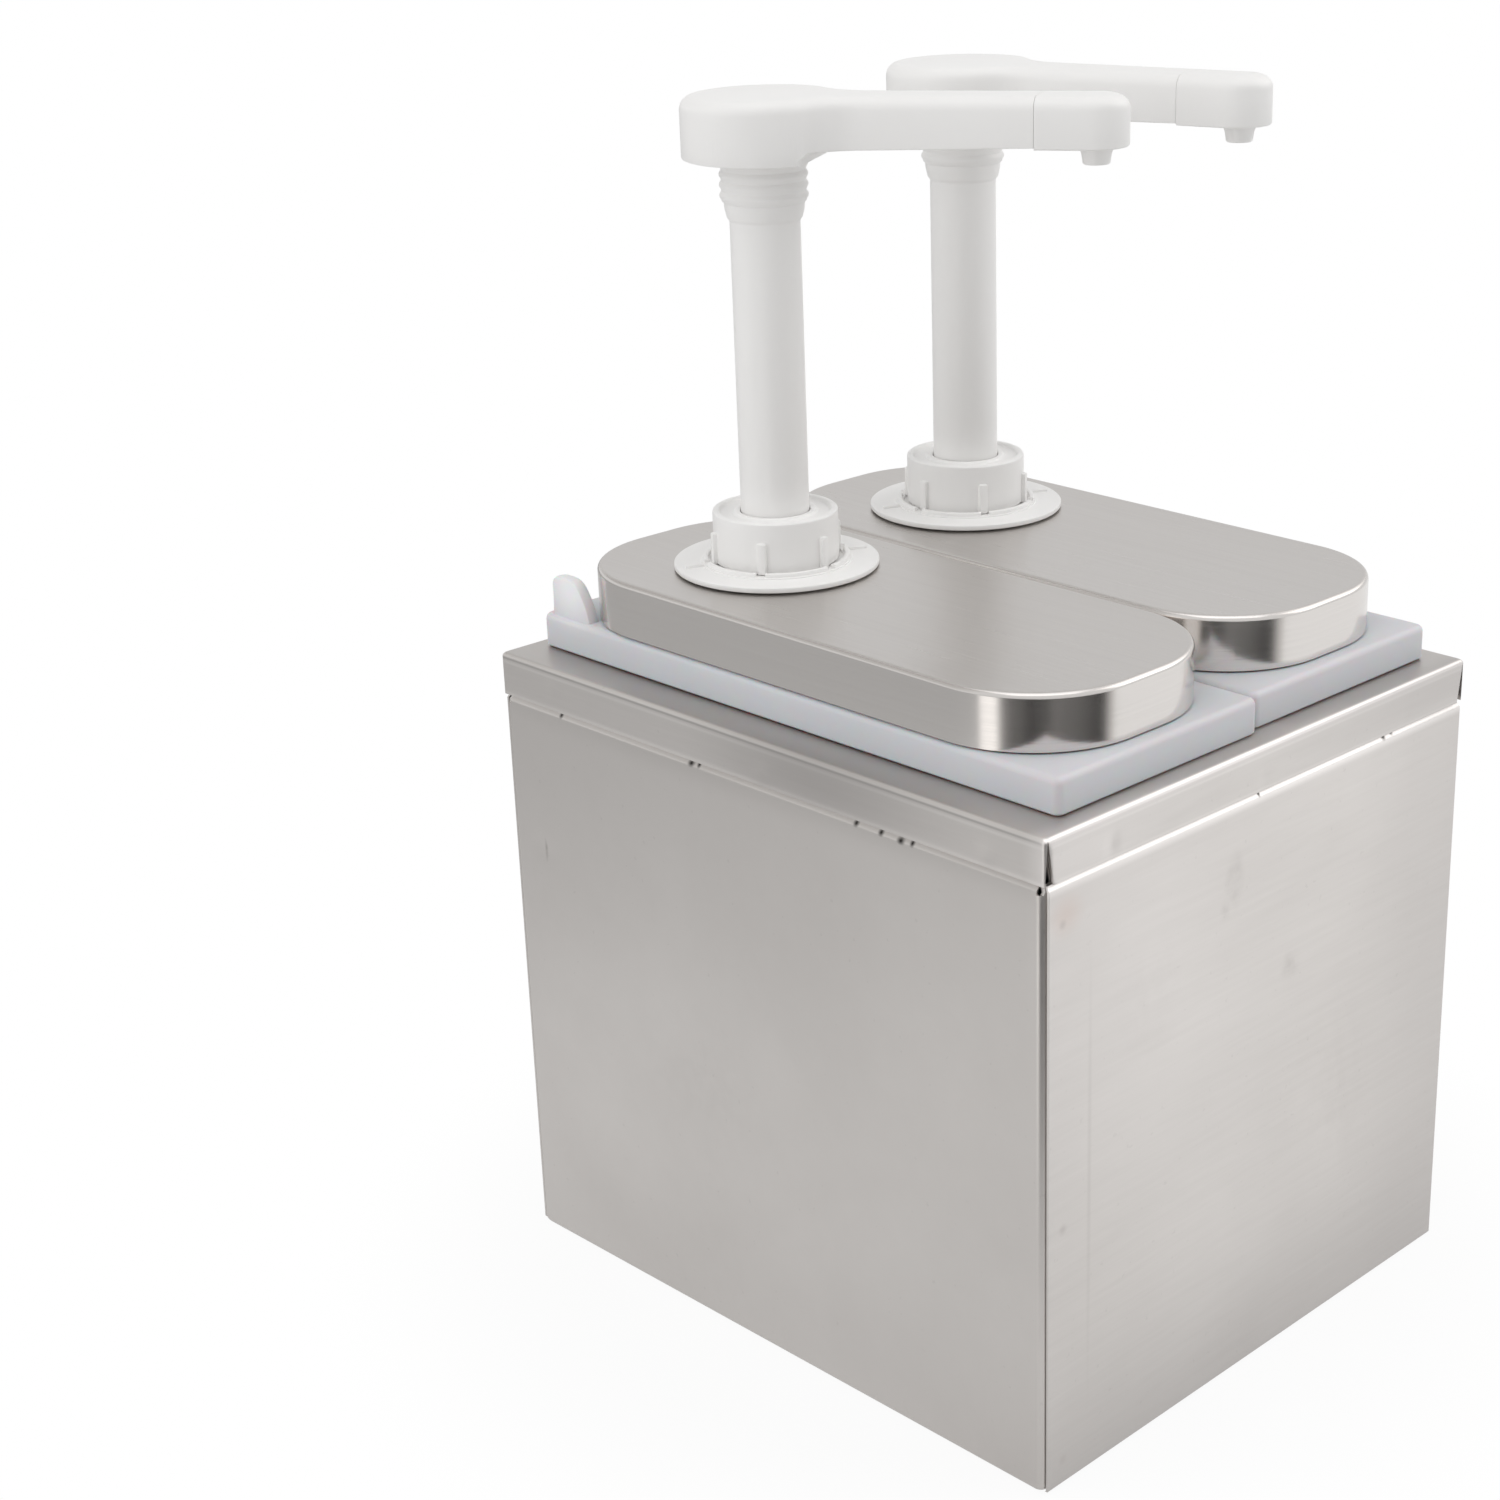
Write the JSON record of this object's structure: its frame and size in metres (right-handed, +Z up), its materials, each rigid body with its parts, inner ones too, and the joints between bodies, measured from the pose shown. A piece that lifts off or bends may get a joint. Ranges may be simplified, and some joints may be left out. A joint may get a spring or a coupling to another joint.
{
  "type": "sauce pump dispenser",
  "caption": "Stainless steel countertop box with lift-out plastic tanks, each with a steel cover and a white press-down sauce pump with a swivelling spout.",
  "frame": {"origin": "centre of the box's underside, on the surface that it stands on", "axes": "+Z up, -Y towards the spouts' end (front), +X to the right seen from the front"},
  "size_m": [0.205, 0.24, 0.3977],
  "materials": {
    "case_steel": "satin",
    "cover_steel": "satin",
    "tank_plastic": "satin",
    "pump_plastic": "semi-gloss",
    "inner_plastic": "satin",
    "seal_rubber": "matt",
    "spring_steel": "bright"
  },
  "bodies": {
    "case": {"case_wrap": "case_steel", "front_panel": "case_steel", "rear_panel": "case_steel", "top_frame": "case_steel"},
    "tank_body_left": {"tank_left": "tank_plastic"},
    "cover_body_left": {"cover_left": "cover_steel", "mounting_flange_left": "pump_plastic", "flange_gasket_left": "seal_rubber", "lock_nut_left": "pump_plastic", "collar_left": "pump_plastic", "cylinder_left": "inner_plastic", "foot_valve_left": "inner_plastic", "dip_tube_left": "inner_plastic", "return_spring_left": "spring_steel"},
    "plunger_body_left": {"piston_left": "inner_plastic", "piston_seal_left": "seal_rubber"},
    "head_body_left": {"plunger_stem_left": "pump_plastic", "pump_head_left": "pump_plastic", "spout_nose_left": "pump_plastic"},
    "outlet_ball_body_left": {"outlet_ball_left": "spring_steel"},
    "inlet_ball_body_left": {"inlet_ball_left": "spring_steel"},
    "tank_body_right": {"tank_right": "tank_plastic"},
    "cover_body_right": {"cover_right": "cover_steel", "mounting_flange_right": "pump_plastic", "flange_gasket_right": "seal_rubber", "lock_nut_right": "pump_plastic", "collar_right": "pump_plastic", "cylinder_right": "inner_plastic", "foot_valve_right": "inner_plastic", "dip_tube_right": "inner_plastic", "return_spring_right": "spring_steel"},
    "plunger_body_right": {"piston_right": "inner_plastic", "piston_seal_right": "seal_rubber"},
    "head_body_right": {"plunger_stem_right": "pump_plastic", "pump_head_right": "pump_plastic", "spout_nose_right": "pump_plastic"},
    "outlet_ball_body_right": {"outlet_ball_right": "spring_steel"},
    "inlet_ball_body_right": {"inlet_ball_right": "spring_steel"}
  },
  "joints": [
    {"name": "tank_lift_left", "type": "slide", "parent": "case", "child": "tank_body_left", "axis": [0, 0, 1], "range_m": [0, 0.21]},
    {"name": "cover_lift_left", "type": "slide", "parent": "tank_body_left", "child": "cover_body_left", "axis": [0, 0, 1], "range_m": [0, 0.21]},
    {"name": "press_left", "type": "slide", "parent": "cover_body_left", "child": "plunger_body_left", "axis": [0, 0, -1], "range_m": [0, 0.085], "stiffness_N_per_m": 150, "springref_m": -0.03, "deforming": ["return_spring_left"]},
    {"name": "swivel_left", "type": "hinge", "parent": "plunger_body_left", "child": "head_body_left", "pos_m": [-0.041, 0.0514, 0.376], "axis": [0, 0, 1], "range_deg": [-135, 15]},
    {"name": "outlet_ball_lift_left", "type": "slide", "parent": "plunger_body_left", "child": "outlet_ball_body_left", "axis": [0, 0, 1], "range_m": [0, 0.003]},
    {"name": "inlet_ball_lift_left", "type": "slide", "parent": "cover_body_left", "child": "inlet_ball_body_left", "axis": [0, 0, 1], "range_m": [0, 0.003]},
    {"name": "tank_lift_right", "type": "slide", "parent": "case", "child": "tank_body_right", "axis": [0, 0, 1], "range_m": [0, 0.125]},
    {"name": "cover_lift_right", "type": "slide", "parent": "tank_body_right", "child": "cover_body_right", "axis": [0, 0, 1], "range_m": [0, 0.125]},
    {"name": "press_right", "type": "slide", "parent": "cover_body_right", "child": "plunger_body_right", "axis": [0, 0, -1], "range_m": [0, 0.085], "stiffness_N_per_m": 150, "springref_m": -0.03, "deforming": ["return_spring_right"]},
    {"name": "swivel_right", "type": "hinge", "parent": "plunger_body_right", "child": "head_body_right", "pos_m": [0.051, 0.0538, 0.376], "axis": [0, 0, 1], "range_deg": [-15, 135]},
    {"name": "outlet_ball_lift_right", "type": "slide", "parent": "plunger_body_right", "child": "outlet_ball_body_right", "axis": [0, 0, 1], "range_m": [0, 0.003]},
    {"name": "inlet_ball_lift_right", "type": "slide", "parent": "cover_body_right", "child": "inlet_ball_body_right", "axis": [0, 0, 1], "range_m": [0, 0.003]}
  ]
}
